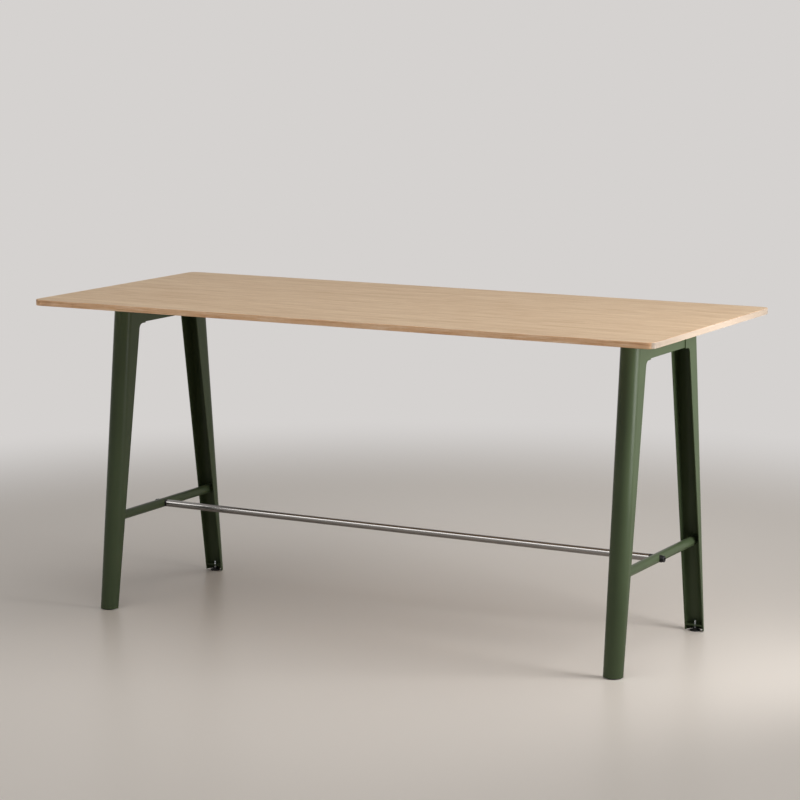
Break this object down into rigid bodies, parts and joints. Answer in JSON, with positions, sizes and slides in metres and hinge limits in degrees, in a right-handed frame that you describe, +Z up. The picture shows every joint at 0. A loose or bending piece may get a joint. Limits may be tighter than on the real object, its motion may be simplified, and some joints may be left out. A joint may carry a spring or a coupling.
{
  "type": "high table",
  "caption": "High rectangular table: a thin oak-veneered top on A-shaped folded steel end frames, joined low down by a round steel footrest, on screw-adjustable feet.",
  "frame": {"origin": "on the floor, under the middle of the top", "axes": "+Z up, +X along the top's length, -Y towards the long side nearest the viewer"},
  "size_m": [2.3, 1, 1.095],
  "materials": {
    "oak_veneer": "matt lacquered oak veneer",
    "oak_edge": "matt lacquered oak edge band",
    "core_board": "bare plywood",
    "green_paint": "fine-textured satin powder coat",
    "stainless": "polished",
    "zinc_steel": "bright zinc plate",
    "black_plastic": "fine matt",
    "black_steel": "black oxide"
  },
  "bodies": {
    "root": {"top_core": "core_board", "top_veneer": "oak_veneer", "bottom_veneer": "oak_veneer", "edge_band": "oak_edge", "footrest_tube": "stainless", "rail_left": "green_paint", "rung_left": "green_paint", "top_inserts_left": "zinc_steel", "top_washers_left": "zinc_steel", "top_screws_left": "zinc_steel", "footrest_plug_left": "zinc_steel", "footrest_spacer_left": "black_plastic", "footrest_washer_left": "black_plastic", "footrest_bolt_left": "black_steel", "rail_right": "green_paint", "rung_right": "green_paint", "top_inserts_right": "zinc_steel", "top_washers_right": "zinc_steel", "top_screws_right": "zinc_steel", "footrest_plug_right": "zinc_steel", "footrest_spacer_right": "black_plastic", "footrest_washer_right": "black_plastic", "footrest_bolt_right": "black_steel", "leg_front_left": "green_paint", "foot_plate_front_left": "green_paint", "leg_back_left": "green_paint", "foot_plate_back_left": "green_paint", "leg_front_right": "green_paint", "foot_plate_front_right": "green_paint", "leg_back_right": "green_paint", "foot_plate_back_right": "green_paint"},
    "pad_front_left": {"leveller_pad_front_left": "black_plastic"},
    "stem_front_left": {"leveller_stem_front_left": "zinc_steel"},
    "pad_back_left": {"leveller_pad_back_left": "black_plastic"},
    "stem_back_left": {"leveller_stem_back_left": "zinc_steel"},
    "pad_front_right": {"leveller_pad_front_right": "black_plastic"},
    "stem_front_right": {"leveller_stem_front_right": "zinc_steel"},
    "pad_back_right": {"leveller_pad_back_right": "black_plastic"},
    "stem_back_right": {"leveller_stem_back_right": "zinc_steel"}
  },
  "joints": [
    {"name": "pad_front_left_slide", "type": "slide", "parent": "root", "child": "pad_front_left", "axis": [0, 0, -1], "range_m": [0, 0.01]},
    {"name": "stem_front_left_turn", "type": "hinge", "parent": "pad_front_left", "child": "stem_front_left", "pos_m": [-0.96, -0.345, 0.005], "axis": [0, 0, -1], "range_deg": [0, 2880]},
    {"name": "pad_back_left_slide", "type": "slide", "parent": "root", "child": "pad_back_left", "axis": [0, 0, -1], "range_m": [0, 0.01]},
    {"name": "stem_back_left_turn", "type": "hinge", "parent": "pad_back_left", "child": "stem_back_left", "pos_m": [-0.96, 0.345, 0.005], "axis": [0, 0, -1], "range_deg": [0, 2880]},
    {"name": "pad_front_right_slide", "type": "slide", "parent": "root", "child": "pad_front_right", "axis": [0, 0, -1], "range_m": [0, 0.01]},
    {"name": "stem_front_right_turn", "type": "hinge", "parent": "pad_front_right", "child": "stem_front_right", "pos_m": [0.96, -0.345, 0.005], "axis": [0, 0, -1], "range_deg": [0, 2880]},
    {"name": "pad_back_right_slide", "type": "slide", "parent": "root", "child": "pad_back_right", "axis": [0, 0, -1], "range_m": [0, 0.01]},
    {"name": "stem_back_right_turn", "type": "hinge", "parent": "pad_back_right", "child": "stem_back_right", "pos_m": [0.96, 0.345, 0.005], "axis": [0, 0, -1], "range_deg": [0, 2880]}
  ],
  "couplings": [
    {"joint": "stem_front_left_turn", "follows": "pad_front_left_slide", "rad_per_m": 5026.5},
    {"joint": "stem_back_left_turn", "follows": "pad_back_left_slide", "rad_per_m": 5026.5},
    {"joint": "stem_front_right_turn", "follows": "pad_front_right_slide", "rad_per_m": 5026.5},
    {"joint": "stem_back_right_turn", "follows": "pad_back_right_slide", "rad_per_m": 5026.5}
  ]
}
